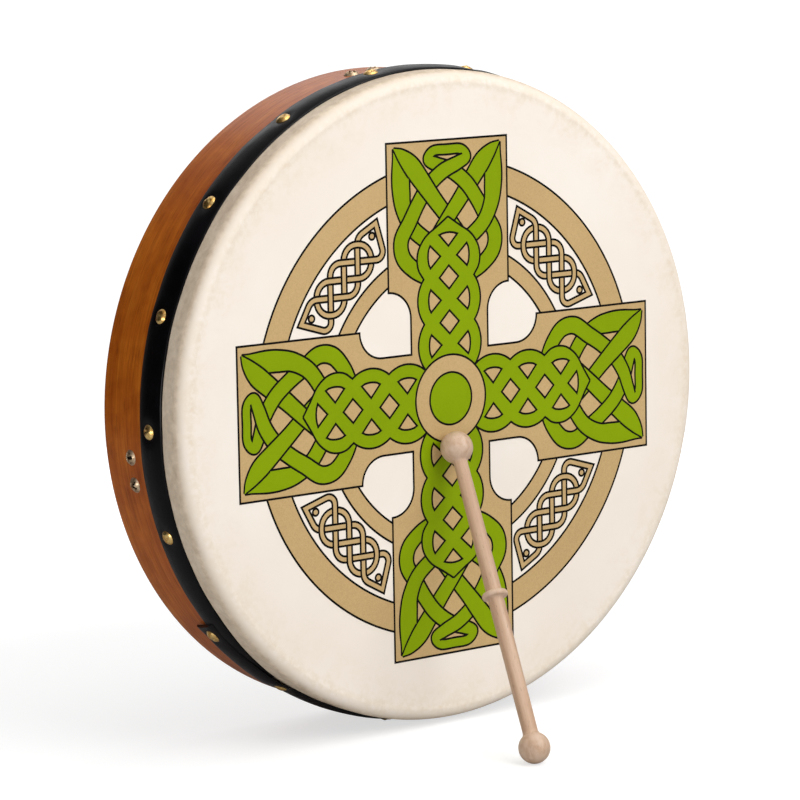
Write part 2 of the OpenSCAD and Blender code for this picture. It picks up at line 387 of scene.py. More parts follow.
def recess_shade():
    """Painted shade: a near-black fill standing in for the shadow at the bottom of a screw's cross
    recess.
    """
    m = Shader("recess_dark", Roughness=0.9)
    m.set("Specular IOR Level", 0.0)
    shade_mottle = m.noise(m.place(), 900.0)
    m.set("Base Color", m.ramp(shade_mottle, (0.3, srgb(14, 11, 9)), (0.7, srgb(34, 27, 20))))
    return m.material


def beech(upright, foot, middle):
    """Pale turned beech: flecks along the shaft, and faint turning marks round it. The end grain
    of the balls and the ring is paler. The beater leans, so its coordinates are set upright about
    its foot. middle is the distance from the lower ball to the ring, in metres."""
    m = Shader("beater_wood", Roughness=0.5, IOR=1.5)
    m.set("Specular IOR Level", 0.45)
    about_foot = m.node("VectorMath", {0: m.node("TexCoord").outputs["Object"], 1: foot},
                        operation="SUBTRACT").outputs[0]
    lean = upright.to_euler("XYZ")
    where = m.node("Mapping", {"Vector": about_foot, "Rotation": lean}).outputs[0]
    streaks = m.noise(m.scaled(where, (180.0, 180.0, 9.0)), 1.0, 5, 0.6, 0.3)
    flecks = m.noise(m.scaled(where, (1500.0, 1500.0, 260.0)), 1.0, 2, 0.5)
    marks = m.noise(m.scaled(where, (8.0, 8.0, 1500.0)), 1.0, 2)
    body = m.ramp(streaks, (0.3, srgb(174, 137, 109)), (0.5, srgb(191, 157, 130)),
                  (0.75, srgb(208, 179, 153)))
    body = m.mix(body, m.ramp(flecks, (0.62, 1.0), (0.74, 0.6)), 0.8, "MULTIPLY")
    up = m.sum(m.node("SeparateXYZ", {"Vector": where}).outputs["Z"], middle, "SUBTRACT")
    from_middle = m.sum(up, 0.0, "ABSOLUTE")
    ball = m.between(from_middle, middle - 0.0125, middle - 0.0095)
    ring = m.between(from_middle, 0.0032, 0.0024)
    dust = m.ramp(m.noise(where, 130.0, 4, 0.6, 0.4), (0.38, 0.1), (0.62, 0.5))
    body = m.mix(body, srgb(218, 194, 173), m.sum(m.sum(ball, ring, "MAXIMUM"), dust, "MULTIPLY"))
    m.set("Base Color", body)
    m.set("Roughness", m.ramp(streaks, (0.3, 0.5), (0.7, 0.38)))
    m.bump((marks, 0.12, 0.0002), (streaks, 0.15, 0.0002))
    return m.material


# ---- drum ----


def make_shell():
    """The bent hoop, rounded under the skin's edge and at its back corners."""
    inner, back = SHELL_R - WALL, 1.5
    edge = SHELL_R - EDGE_R + SKIN_T + 0.05
    outline = np.vstack([
        [(inner, SKIN_T + 0.05), (edge, SKIN_T + 0.05)],
        arc(edge, EDGE_R, EDGE_R - SKIN_T - 0.05, -90, 0, 9)[1:],
        [(SHELL_R, y) for y in np.linspace(EDGE_R, DEPTH - back, 12)[1:-1]],
        arc(SHELL_R - back, DEPTH - back, back, 0, 90, 15),
        arc(inner + back, DEPTH - back, back, 90, 180, 15),
        [(inner, y) for y in np.linspace(DEPTH - back, SKIN_T, 12)[1:-1]],
    ])

    def bend(r, y, angle):
        """A bent strip is never quite flat."""
        free = smoothstep(BAND_FRONT + BAND_W, DEPTH, y)
        return r - 0.08 * (1 + ripple(angle, 9, 3)) * free, y

    points, faces, uvs = lathe(outline, 540, bend=bend)
    tones = srgb(166, 81, 14), srgb(189, 101, 24), srgb(206, 123, 40)
    piece("shell_wood", place(points), faces, lacquered_wood("stained_wood", tones, True),
          ["shell"], uvs=uvs)


def make_skin():
    """The skin's flat front, its round-over and the skirt down the side."""
    flat = SKIN_R - EDGE_R
    outer = np.vstack([
        [(r, 0) for r in (0, 60, 120, 170, 200, 210)],
        [(r, 0) for r in np.linspace(214, flat, 12)],
        arc(flat, EDGE_R, EDGE_R, -90, 0, 5)[1:],
        [(SKIN_R, y) for y in np.linspace(EDGE_R, SKIRT, 16)[1:]],
    ])
    inner = np.vstack([
        [(SKIN_R - SKIN_T, SKIRT), (SKIN_R - SKIN_T, EDGE_R)],
        arc(flat, EDGE_R, EDGE_R - SKIN_T, 0, -90, 9)[1:],
        [(r, SKIN_T) for r in (200, 120, 0)],
    ])

    def bend(r, y, angle):
        """The skin rises over the shell's edge, and puckers a little down its side."""
        ridge = 0.12 * np.exp(-((r - flat) / 1.6) ** 2) * (y < EDGE_R / 2)
        pucker = 0.16 * ripple(angle, 70, 5) * smoothstep(2, 14, y) * (r > SKIN_R - 0.01)
        return r + np.minimum(pucker, 0) - 0.02, y - ridge

    points, faces, uvs = lathe(np.vstack([outer, inner]), 720, bend=bend)
    piece("goatskin_head", place(points), faces, goatskin(), ["drumhead"], uvs=uvs)


def tack_places():
    """(degrees, depth, lift) of each of the CAD's tacks. One sits on the band's lapped end."""
    co = np.array([v.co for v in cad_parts["dome_tacks"].data.vertices]) / MM
    x, y, z = (co - (0, FRONT / MM, AXIS / MM)).T
    radius, angle = np.hypot(x, z), np.degrees(np.arctan2(z, x)) % 360
    nearest = np.round(angle * TACKS / 360) % TACKS
    for i in range(TACKS):
        top = (nearest == i) & (radius > BAND_R)
        centre = np.median((angle[top] + 180 - i * 360 / TACKS) % 360 - 180 + i * 360 / TACKS)
        lift = radius[top].max() - BAND_R - TACK_H
        yield centre, (y[top].min() + y[top].max()) / 2, lift if lift > 0.5 else 0.0


def make_band():
    """One strip that starts on top of its own end, runs down and round, and ends under itself."""
    edge, half, lift = 1.1, BAND_W / 2, 2.0          # lift raises the top end over the other
    flare, droop, slant = 6.0, 1.6, 2.6              # how the free end's back corner stands out
    dimple, dimple_r = 1.5, 7.0                      # where a tack pulls the padding down
    slide, slide_from = 5.2, 342.0                   # the other end slides under over 18 degrees
    inset = np.linspace(1, BAND_W - 1, 26)
    across = np.r_[0, 0.15, 0.5, inset, BAND_W - 0.5, BAND_W - 0.15, BAND_W]
    crown = edge + (BAND_T - edge) * (1 - np.abs(across / half - 1) ** 2.2)
    to_edge = np.minimum(across, BAND_W - across)
    corner = np.sqrt(np.clip(1 - (1 - to_edge / 0.8).clip(0) ** 2, 0, 1))
    height = crown * (0.2 + 0.8 * corner)
    outline_w = np.r_[across, across[::-1][:: 3]]
    outline_h = np.r_[height, np.zeros(len(across[:: 3]))]
    angle = np.arange(LAP_FROM, LAP_TO + 360.01, 0.4)
    top = smoothstep(LAP_TO + 6, LAP_TO + 0.5, angle) * (angle < 360)
    back = LAP_BACK * smoothstep(LAP_STRAIGHT, LAP_FROM, angle) * (angle < 360)
    flared = flare * np.exp(-((angle - LAP_FROM) / 2.2) ** 2)
    w, h = (np.tile(v, (len(angle), 1)) for v in (outline_w, outline_h))
    share = w / BAND_W
    end = np.exp(-((angle - LAP_FROM) / 3.0))[:, None]
    turn = angle[:, None] + slant * (share - 0.25) * end
    wander = 0.45 * ripple(angle, 7, 11)[:, None] + 0.25 * ripple(angle, 31, 12)[:, None]
    tuck = slide * smoothstep(LAP_TO + slide_from, LAP_TO + 360, angle)[:, None]
    shift = back[:, None] + flared[:, None] * share ** 2
    depth = BAND_FRONT + w + shift + wander + tuck * (1 - 0.3 * share)
    radius = BAND_R - BAND_T + h + lift * top[:, None]
    soft = 0.22 * ripple(turn, 23, 13) * (0.3 + share) * (h > 0.1)
    radius = radius + np.minimum(soft, 0) - droop * share ** 3 * end
    for tack, tack_depth, on_lap in tack_places():
        along = np.radians((turn - tack + 180) % 360 - 180) * BAND_R
        gap = np.hypot(along, depth - tack_depth)
        pulled = dimple * np.exp(-(gap / dimple_r) ** 2) * (h > 0.1)
        radius -= pulled * np.where(on_lap > 0, top[:, None], 1)
    a = np.radians(turn)
    points = np.stack([radius * np.cos(a), depth, radius * np.sin(a)], axis=2).reshape(-1, 3)
    count = len(outline_w)
    faces = grid_faces(len(angle), count, False, True).tolist()
    steps = np.hypot(np.diff(np.r_[outline_w, 0]), np.diff(np.r_[outline_h, outline_h[0]]))
    along = np.r_[0, np.cumsum(steps)]
    uvs = grid_uvs(np.radians(angle) * BAND_R * MM, along * MM).reshape(-1, 2)
    caps = [list(range(count))[::-1], [len(points) - count + i for i in range(count)]]
    cap_uvs = np.zeros((2 * count, 2))
    piece("vinyl_band", place(points), faces + caps, vinyl(), ["trim_band"],
          uvs=np.vstack([uvs, cap_uvs]), sharp=50)


def make_tacks():
    """Dome-headed tacks, each dented by the hammer that drove it."""
    head_r, head_h, pin_r, pin_l, sink = 5.4, TACK_H, 0.9, 9.5, 1.1
    cap_r = (head_r ** 2 + head_h ** 2) / (2 * head_h)
    top = math.degrees(math.asin(head_r / cap_r))
    dome = [(cap_r * math.sin(math.radians(t)), head_h - cap_r + cap_r * math.cos(math.radians(t)))
            for t in np.linspace(0, top, 18)]
    pin = [(pin_r, -0.1), (pin_r, -pin_l + 1.5), (0, -pin_l)]
    outline = dome + [(head_r, -0.25), (head_r - 0.5, -0.3)] + pin
    draw = np.random.default_rng(21)
    parts = []
    for angle, depth, lift in tack_places():
        blows = [(*draw.uniform(-2.4, 2.4, 2), draw.uniform(0.8, 1.9), draw.uniform(0.25, 0.75))
                 for _ in range(5)]

        def dent(x, y, z):
            for bx, by, size, deep in blows:
                z = z - deep * np.exp(-(((x - bx) ** 2 + (y - by) ** 2) / size ** 2) ** 1.5) * (z > 0.05)
            return z

        points, faces = stud(outline, 40, dent)
        seat = angle, BAND_R - sink + lift, depth, draw.uniform(0, 360)
        parts.append((on_side(points, *seat), faces))
    points, faces = gather(parts)
    brass = metal("tack_brass", srgb(253, 217, 142), srgb(214, 158, 82), 0.3)
    piece("brass_tacks", place(points), faces, brass, ["dome_tacks"])


def make_screws():
    """Raised-head screws with a cross recess."""
    head_r, head_h, shank_r, shank_l = 5.5, 2.8, 2.0, 34.0
    slot_w, slot_l, slot_h = 1.0, 3.7, 2.5
    dome = [(r, head_h * (1 - (r / head_r) ** 2.4)) for r in np.linspace(0, head_r, 30)]
    outline = dome + [(head_r, -0.2), (shank_r, -0.25), (shank_r, -shank_l + 5), (0, -shank_l)]

    def dent(x, y, z):
        def arm(a, b):
            wide = smoothstep(slot_w + 0.25, slot_w - 0.1, abs(a))
            return wide * smoothstep(slot_l + 0.2, slot_l - 0.6, abs(b))

        cross = np.maximum(arm(x, y), arm(y, x))
        return z - slot_h * cross * (z > 0.3)

    half = math.degrees(math.asin(SCREW_GAP / 2 / SHELL_R))
    draw = np.random.default_rng(8)
    # A plus-shaped prism sits in each cross recess, near black: painted shade for the recess's shadow.
    a, b, low, high = slot_w - 0.1, slot_l - 0.2, 0.1, 0.75
    rim = [(a, a), (a, b), (-a, b), (-a, a), (-b, a), (-b, -a),
           (-a, -a), (-a, -b), (a, -b), (a, -a), (b, -a), (b, a)]
    cross_points = np.array([(x, y, z) for z in (low, high) for x, y in rim])
    cross_faces = [list(range(12))[::-1], list(range(12, 24))]
    cross_faces += [[i, (i + 1) % 12, (i + 1) % 12 + 12, i + 12] for i in range(12)]
    parts, recess_shades = [], []
    for end in (BAR_TURN, UPRIGHT_TURN, BAR_TURN + 180, UPRIGHT_TURN + 180):
        for side in (-1, 1):
            points, faces = stud(outline, 96, dent)
            seat = end + side * half, SHELL_R + 0.05, BAR_DEPTH, draw.uniform(0, 90)
            parts.append((on_side(points, *seat), faces))
            recess_shades.append((on_side(cross_points, *seat), cross_faces))
    points, faces = gather(parts)
    steel = metal("screw_steel", srgb(230, 206, 174), srgb(158, 132, 104), 0.42)
    piece("steel_screws", place(points), faces, steel, ["crossbar_screws"])
    # The recess prisms of painted shade, as one piece.
    points, faces = gather(recess_shades)
    piece("screw_recesses", place(points), faces, recess_shade(), sharp=30)


def finish_crossbars():
    """The CAD's bars keep their shape, with their edges softened, and get their wood."""
    tones = srgb(190, 140, 84), srgb(216, 172, 116), srgb(232, 196, 146)
    for node, turn in (("crossbar_level", BAR_TURN), ("crossbar_upright", UPRIGHT_TURN)):
        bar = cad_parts[node]
        bar.data.materials.clear()
        bar.data.materials.append(lacquered_wood(node + "_wood", tones, False, (0, turn, 0)))
        soften = bar.modifiers.new("soften", "BEVEL")
        soften.width, soften.segments, soften.angle_limit = 0.0006, 2, math.radians(30)


# ---- printed cross ----

LINE = 1.5                       # width of the black lines
INK = 0.12                       # thickness of the ink
TAN, GREEN, BLACK = "tan", "green", "black"
CROSS_HALF, ARM_HALF, SHOULDER, WAIST = 181.4, 53.1, 78.6, 34.0
RINGS = ((168.0, 148.5), (110.0, 98.0))
BOSS, DISC = 31.0, 18.5
TWIST, NOTCH, NOTCH_X = 31.5, 22.5, 22.3    # length of a twist of the plait, and its first notch
PANEL_R, PANEL_PITCH = 128.5, 11.7          # place and spacing of the panels' plait


class Inks:
    """Flat coloured shapes, each laid over the ones before it."""

    def __init__(self):
        self.points, self.edges, self.cells = [], [], []

    def outline(self, points):
        """Keeps a closed line as an edge that no triangle may cross."""
        start, n = len(self.points), len(points)
        self.points += [Vector(p) for p in points]
        self.edges += [(start + i, start + (i + 1) % n) for i in range(n)]

    def add(self, points, colour):
        points = np.asarray(points, float)
        self.outline(points)
        self.cells.append((points, colour))

    def stroke(self, path, half, colour, closed=False):
        """Fills a line's width: half is one number, or one for each point."""
        path = np.asarray(path, float)[:, :2]
        side = normals(path, closed) * np.broadcast_to(half, len(path))[:, None]
        left, right = path + side, path - side
        if closed:
            self.outline(left)
            self.outline(right)
            left, right = (np.vstack([s, s[:1]]) for s in (left, right))
        else:
            self.outline(np.vstack([left, right[::-1]]))
        for i in range(len(left) - 1):
            self.cells.append((np.array([left[i], right[i], right[i + 1], left[i + 1]]), colour))

    def edged(self, points, colour):
        """A filled shape with a black line round it."""
        self.add(points, colour)
        self.stroke(points, LINE / 2, BLACK, True)

    def solve(self):
        """The points, and each colour's triangles. A triangle takes the last shape it lies in."""
        solved = delaunay_2d_cdt(self.points, self.edges, [], 0, 1e-5, False)
        corners, triangles = np.array(solved[0]), np.array(solved[2])
        middle = corners[triangles].mean(axis=1)
        order = np.argsort(middle[:, 0])
        x, z = middle[order].T
        names = sorted({colour for _, colour in self.cells})
        found = np.full(len(triangles), -1)
        for points, colour in self.cells:
            low, high = points.min(axis=0), points.max(axis=0)
            near = np.arange(*np.searchsorted(x, (low[0], high[0])))
            near = near[(z[near] >= low[1]) & (z[near] <= high[1])]
            inside = np.zeros(len(near), bool)
            for p, q in zip(points, np.roll(points, -1, axis=0)):
                if p[1] != q[1]:
                    level = (z[near] - p[1]) / (q[1] - p[1])
                    spans = (p[1] > z[near]) != (q[1] > z[near])
                    inside ^= spans & (x[near] < p[0] + level * (q[0] - p[0]))
            found[order[near[inside]]] = names.index(colour)
        return corners, {name: triangles[found == i] for i, name in enumerate(names)}


def normals(path, closed):
    """Unit vectors across a line at its points, longer where it turns sharply."""
    after = np.roll(path, -1, axis=0) - path
    if not closed:
        after[-1] = after[-2]
    after /= np.linalg.norm(after, axis=1)[:, None]
    before = np.roll(after, 1, axis=0)
    if not closed:
        before[0] = after[0]
    mean = before + after
    mean /= np.linalg.norm(mean, axis=1)[:, None]
    return np.c_[-mean[:, 1], mean[:, 0]] / np.clip((mean * before).sum(axis=1), 0.35, 1)[:, None]


def smooth(points, per=8):
    """A curve through the points, with any further columns carried along."""
    p = np.asarray(points, float)
    p = np.vstack([2 * p[:1] - p[1:2], p, 2 * p[-1:] - p[-2:-1]])
    t = np.arange(per)[:, None] / per
    curve = [0.5 * (2 * b + (c - a) * t + (2 * a - 5 * b + 4 * c - d) * t ** 2
                    + (3 * b - 3 * c + d - a) * t ** 3)
             for a, b, c, d in zip(p, p[1:], p[2:], p[3:])]
    return np.vstack(curve + [p[-2:-1]])


def rounded(corners):
    """A closed line through (x, z, radius) corners, each rounded to its radius."""
    corners = np.asarray(corners, float)
    path = []
    for i, (x, z, radius) in enumerate(corners):
        here = np.array([x, z])
        back, on = corners[i - 1, :2] - here, corners[(i + 1) % len(corners), :2] - here
        back, on = back / np.linalg.norm(back), on / np.linalg.norm(on)
        if radius == 0:
            path.append(here)
            continue
        half = math.acos(float(np.clip(back @ on, -1, 1))) / 2
        middle = here + (back + on) / np.linalg.norm(back + on) * radius / math.sin(half)
        first, last = (here + d * radius / math.tan(half) - middle for d in (back, on))
        start = math.degrees(math.atan2(first[1], first[0]))
        sweep = (math.degrees(math.atan2(last[1], last[0])) - start + 180) % 360 - 180
        path += list(arc(*middle, radius, start, start + sweep, 12))
    return np.array(path)


def turned(points, degrees):
    """Points turned anticlockwise about the middle of the cross."""
    a = math.radians(degrees)
    q = np.array(points, float)
    q[:, :2] = q[:, :2] @ np.array([[math.cos(a), math.sin(a)], [-math.sin(a), math.cos(a)]])
    return q


def flipped(points):
    """Points mirrored left to right."""
    q = np.array(points, float)
    q[:, 0] *= -1
    return q


def measured(strand):
    """A strand's points, with the first again at the end if it closes, and the length to each."""
    path, closed = strand
    path = np.vstack([path, path[:1]]) if closed else path
    return path, np.r_[0, np.cumsum(np.linalg.norm(np.diff(path[:, :2], axis=0), axis=1))]


def crossings(strands):
    """Where middle lines cross, as ((strand, length along it), (strand, length along it))."""
    start, step, owner, length = [], [], [], []
    for k, strand in enumerate(strands):
        path, along = measured(strand)
        start.append(path[:-1, :2])
        step.append(np.diff(path[:, :2], axis=0))
        owner += [k] * (len(path) - 1)
        length.append(along[:-1])
    start, step = np.vstack(start), np.vstack(step)
    owner, length = np.array(owner), np.concatenate(length)
    size = np.linalg.norm(step, axis=1)
    found = []
    for i in range(len(start)):
        gap, other = start[i + 2:] - start[i], step[i + 2:]
        area = step[i, 0] * other[:, 1] - step[i, 1] * other[:, 0]
        area[abs(area) < 1e-9] = np.inf
        t = (gap[:, 0] * other[:, 1] - gap[:, 1] * other[:, 0]) / area
        u = (gap[:, 0] * step[i, 1] - gap[:, 1] * step[i, 0]) / area
        meets = (t >= 0) & (t < 1) & (u >= 0) & (u < 1) & np.isfinite(area)
        for n in np.flatnonzero(meets):
            j = i + 2 + n
            found.append(((owner[i], length[i] + t[n] * size[i]),
                          (owner[j], length[j] + u[n] * size[j])))
    return found


def weave(found, count):
    """Which strand is on top at each crossing, so that each goes over and under by turns."""
    visits = [[] for _ in range(count)]
    for c, pair in enumerate(found):
        for side, (k, at) in enumerate(pair):
            visits[k].append((at, c, side))
    visits = [sorted(v) for v in visits]
    over, todo = {}, list(range(count))
    while todo:
        k = next((k for k in todo if any(c in over for _, c, _ in visits[k])), todo[0])
        todo.remove(k)
        settled = ((i, over[c] == side) for i, (_, c, side) in enumerate(visits[k]) if c in over)
        known = next(settled, (0, True))
        for i, (_, c, side) in enumerate(visits[k]):
            on_top = known[1] == ((i - known[0]) % 2 == 0)
            over.setdefault(c, side if on_top else 1 - side)
    return [over[c] for c in range(len(found))]


def stretch(strand, at, reach):
    """The part of a strand within reach of a place along it."""
    path, along = measured(strand)
    where = np.linspace(at - reach, at + reach, max(4, int(reach / 0.35)))
    where = where % along[-1] if strand[1] else np.unique(np.clip(where, 0, along[-1]))
    return np.stack([np.interp(where, along, path[:, i]) for i in range(3)], axis=1)


def interlace(inks, strands, colour):
    """Draws ribbons that pass over and under each other. A strand is (points with half the
    ribbon's width as a third column, whether it closes)."""
    for grow, ink_colour in ((LINE / 2, BLACK), (-LINE / 2, colour)):
        for path, closed in strands:
            inks.stroke(path, path[:, 2] + grow, ink_colour, closed)
    found = crossings(strands)
    woven = zip(found, weave(found, len(strands)))
    for pair, top in sorted(woven, key=lambda c: c[0][0][0] != c[0][1][0]):
        (k, at), (j, under_at) = pair[top], pair[1 - top]
        over, under = stretch(strands[k], at, 0.6), stretch(strands[j], under_at, 0.6)
        a, b = (p[-1, :2] - p[0, :2] for p in (over, under))
        cosine = abs(a @ b) / np.linalg.norm(a) / np.linalg.norm(b)
        sine = max(0.35, math.sqrt(max(0.0, 1 - cosine ** 2)))
        wide = (under[1, 2] + LINE / 2) + (over[1, 2] + LINE / 2) * min(cosine, 0.8)
        reach = 1.1 * wide / sine + 0.4
        part = stretch(strands[k], at, reach)
        inks.stroke(part, part[:, 2] + LINE / 2, BLACK)
        inks.stroke(part, part[:, 2] - LINE / 2, colour)


def circle(r, x=0.0, z=0.0, step=3.0):
    """A closed ring of points, without the last that repeats the first."""
    return arc(x, z, r, 0, 360, step)[:-1]


def cross_outline():
    """The cross's edge: four wide arms with hollow corners between them."""
    corner = ARM_HALF - WAIST
    quarter = np.vstack([
        [(ARM_HALF, CROSS_HALF)],
        arc(ARM_HALF, SHOULDER - corner, corner, 90, 180, 6),
        [(WAIST, WAIST)],
        arc(SHOULDER - corner, ARM_HALF, corner, 270, 360, 6),
        [(CROSS_HALF, ARM_HALF)],
    ])
    return np.vstack([turned(quarter, -90 * k) for k in range(4)])


def draw_rings(inks):
    """The two tan rings behind the cross, each with a black line at both edges."""
    for outer, inner in RINGS:
        inks.stroke(circle((outer + inner) / 2, step=2), (outer - inner) / 2, TAN, True)
        for r in (outer, inner):
            inks.stroke(circle(r, step=2), LINE / 2, BLACK, True)


def draw_panel(inks, quarter):
    """A plait of four strands with pointed ends, made of two endless ribbons."""
    d, half = PANEL_PITCH, 2.15
    centre = PANEL_R / math.sqrt(2)
    ends = [(-d, d, 8.5), (3.02 * d, d, 5.5), (2.37 * d, 3.15 * d, 0), (d, 2.4 * d, 8.0),
            (d, -d, 8.5)]
    far = [(-z, -x, r) for x, z, r in ends[1:4]][::-1]
    loops = [(0, 2 * d, 10.5), (2.0 * d, 2.0 * d, 11), (2 * d, 0, 10.5)]
    back = [(-z, -x, r) for x, z, r in loops][::-1]
    strands = []
    for corners in (ends + far, [loops[0], loops[1], loops[2], back[2], back[1], back[0]]):
        path = rounded(corners)
        path = turned(path + (-centre, centre), -90 * quarter)
        strands.append((np.c_[path, np.full(len(path), half)], True))
    interlace(inks, strands, TAN)
    for x, z in ((-66.5, 119.0), (-119.0, 66.5)):
        inks.edged(turned(circle(2.45, x, z, 15), -90 * quarter), TAN)


def draw_terminal(inks, quarter):
    """The wide end of an arm: two leaves from each corner, and a strand that loops between them."""
    side = smooth([(-47, 177.8, 0.6), (-43.4, 170, 4.6), (-41.2, 160, 7.4), (-40.6, 148, 7.6),
                   (-38.6, 135, 6.6), (-31, 121.5, 6.0), (-16, 110, 5.8)])
    middle = smooth([(-47, 177.8, 0.6), (-40, 172.8, 4.6), (-31.5, 165, 7.2), (-22.5, 154, 7.0),
                     (-12, 141, 6.2), (0, 127, 5.8), (12, 112, 5.8)])
    loop = smooth([(-18, 86, 5.2), (-30, 92.5, 5.8), (-39.8, 102, 6.2), (-41.2, 114, 6.2),
                   (-33.5, 126.5, 6.0), (-26, 138.5, 5.8), (-16.5, 150.5, 5.8), (-4, 159.6, 5.6),
                   (9, 164.6, 5.0), (16.8, 168.6, 4.2), (12, 174.2, 3.6), (0, 174.6, 3.6)])
    whole = np.vstack([loop, flipped(loop)[::-1][1:]])
    strands = [side, flipped(side), middle, flipped(middle), whole]
    interlace(inks, [(turned(s, -90 * quarter), False) for s in strands], GREEN)
    for leaf in (middle, flipped(middle)):
        upper = turned(leaf[:20], -90 * quarter)
        inks.stroke(upper, upper[:, 2] + LINE / 2, BLACK)
        upper = turned(leaf[:21], -90 * quarter)
        inks.stroke(upper, np.maximum(upper[:, 2] - LINE / 2, 0.05), GREEN)


def draw_plait(inks, quarter):
    """The narrow part of an arm: a green plait with scalloped sides and a pointed end."""
    bulge = 25.3
    lean = math.degrees(math.asin(TWIST / 2 / bulge))
    inset = NOTCH_X - math.sqrt(bulge ** 2 - (TWIST / 2) ** 2)
    side = [arc(inset, NOTCH + TWIST * (k + 0.5), bulge, -lean, lean, 6)[:-1] for k in range(2)]
    last = NOTCH + 2 * TWIST
    arch = smooth([(NOTCH_X, last), (26.6, last + 6.5), (27.8, last + 14), (25.8, 107.5),
                   (19.5, 115.5), (9.5, 121.8), (0, 128)], 6)
    right = np.vstack(side + [arch])
    inks.add(turned(np.vstack([right, flipped(right)[::-1][1:]]), -90 * quarter), GREEN)
    for edge in (right, flipped(right)):
        inks.stroke(turned(edge, -90 * quarter), LINE / 2, BLACK)
    holes = []
    for z in (NOTCH + TWIST / 2, NOTCH + 1.5 * TWIST, last + 15):
        hole = np.vstack([[(7.3, z), (16.2, z - 7.9)], arc(-2.7, z, 20.9, -22.2, 22.2, 7)[1:-1],
                          [(16.2, z + 7.9)]])
        holes += [hole, flipped(hole)]
    for z in (NOTCH + TWIST, last):
        holes.append([(8.4, z), (0, z + 8.2), (-8.4, z), (0, z - 8.2)])
    holes.append(np.vstack([[(0, 107.3), (8, 115.4)], arc(0, 94.1, 22.8, 69.4, 110.6, 7)[1:-1],
                            [(-8, 115.4)]]))
    for hole in holes:
        inks.edged(turned(hole, -90 * quarter), TAN)


def make_print():
    """The print as three thin layers of ink that meet edge to edge."""
    inks = Inks()
    draw_rings(inks)
    for quarter in range(4):
        draw_panel(inks, quarter)
    outline = cross_outline()
    inks.add(outline, TAN)
    for quarter in range(4):
        draw_terminal(inks, quarter)
    for quarter in range(4):
        draw_plait(inks, quarter)
    inks.stroke(outline, LINE / 2, BLACK, True)
    inks.edged(circle(BOSS), TAN)
    inks.edged(circle(DISC), GREEN)
    corners, layers = inks.solve()
    finishes = {
        TAN: ink("ink_tan", srgb(186, 155, 106), srgb(203, 173, 124), 0.7),
        GREEN: ink("ink_green", srgb(127, 152, 0), srgb(137, 163, 0), 0.4),
        BLACK: ink("ink_black", srgb(8, 4, 3), srgb(15, 10, 8), 0.5),
    }
    for colour, triangles in layers.items():
        used, triangles = np.unique(triangles, return_inverse=True)
        triangles = triangles.reshape(-1, 3)
        flat = corners[used]
        n = len(flat)
        edges = triangles[:, [0, 1, 1, 2, 2, 0]].reshape(-1, 2)
        _, first, count = np.unique(np.sort(edges, axis=1), axis=0, return_index=True,
                                    return_counts=True)
        rim = edges[first[count == 1]]
        points = np.vstack([np.c_[flat[:, 0], np.full(n, y), flat[:, 1]] for y in (-INK, -0.01)])
        faces = triangles.tolist() + (triangles[:, ::-1] + n).tolist()
        faces += np.c_[rim[:, ::-1], rim + n].tolist()
        name = "ink_" + colour
        piece("print_" + colour, place(points), faces, finishes[colour], [name], sharp=0)


# ---- beater ----


def make_beater():
    """One turned piece: two balls, a shaft that swells to its middle, and a ring there."""
    low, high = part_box("beater")
    foot, tip = low + Vector((FOOT_R,) * 3) * MM, high - Vector((TIP_R,) * 3) * MM
    length = (tip - foot).length / MM
    middle, ring_r, shaft = length / 2, 9.1, (5.3, 5.6, 4.8)
    ring_half = 2.1

    def shaft_r(s):
        return np.interp(s, (0, middle, length), shaft)

    foot_on = math.degrees(math.asin((shaft[0] + 0.7) / FOOT_R))
    tip_on = math.degrees(math.asin((shaft[2] + 0.7) / TIP_R))
    foot_ball = [(FOOT_R * math.sin(t), -FOOT_R * math.cos(t))
                 for t in np.radians(np.linspace(0, 180 - foot_on, 34))]
    tip_ball = [(TIP_R * math.sin(t), length - TIP_R * math.cos(t))
                for t in np.radians(np.linspace(tip_on, 180, 34))]
    lower = np.linspace(FOOT_R + 0.2, middle - ring_half - 1.4, 30)
    upper = np.linspace(middle + ring_half + 1.4, length - TIP_R - 0.2, 30)
    crest = [(ring_r - ring_half * 0.8 * (1 - math.cos(t)), middle + ring_half * math.sin(t))
             for t in np.radians(np.linspace(-90, 90, 15))]
    outline = np.vstack([
        foot_ball, np.c_[shaft_r(lower), lower],
        [(shaft_r(middle) + 0.5, middle - ring_half - 0.5)], crest,
        [(shaft_r(middle) + 0.5, middle + ring_half + 0.5)],
        np.c_[shaft_r(upper), upper], tip_ball,
    ])
    points, faces = stud(outline, 72)
    lean = (tip - foot).to_track_quat("Z", "Y").to_matrix().to_4x4()
    set_at = np.array(Matrix.Translation(foot) @ lean)
    placed = points * MM @ set_at[:3, :3].T + set_at[:3, 3]
    piece("turned_beater", placed, faces, beech(lean.inverted(), foot, middle * MM),
          ["beater"], "beater", sharp=50)


# ---- studio ----


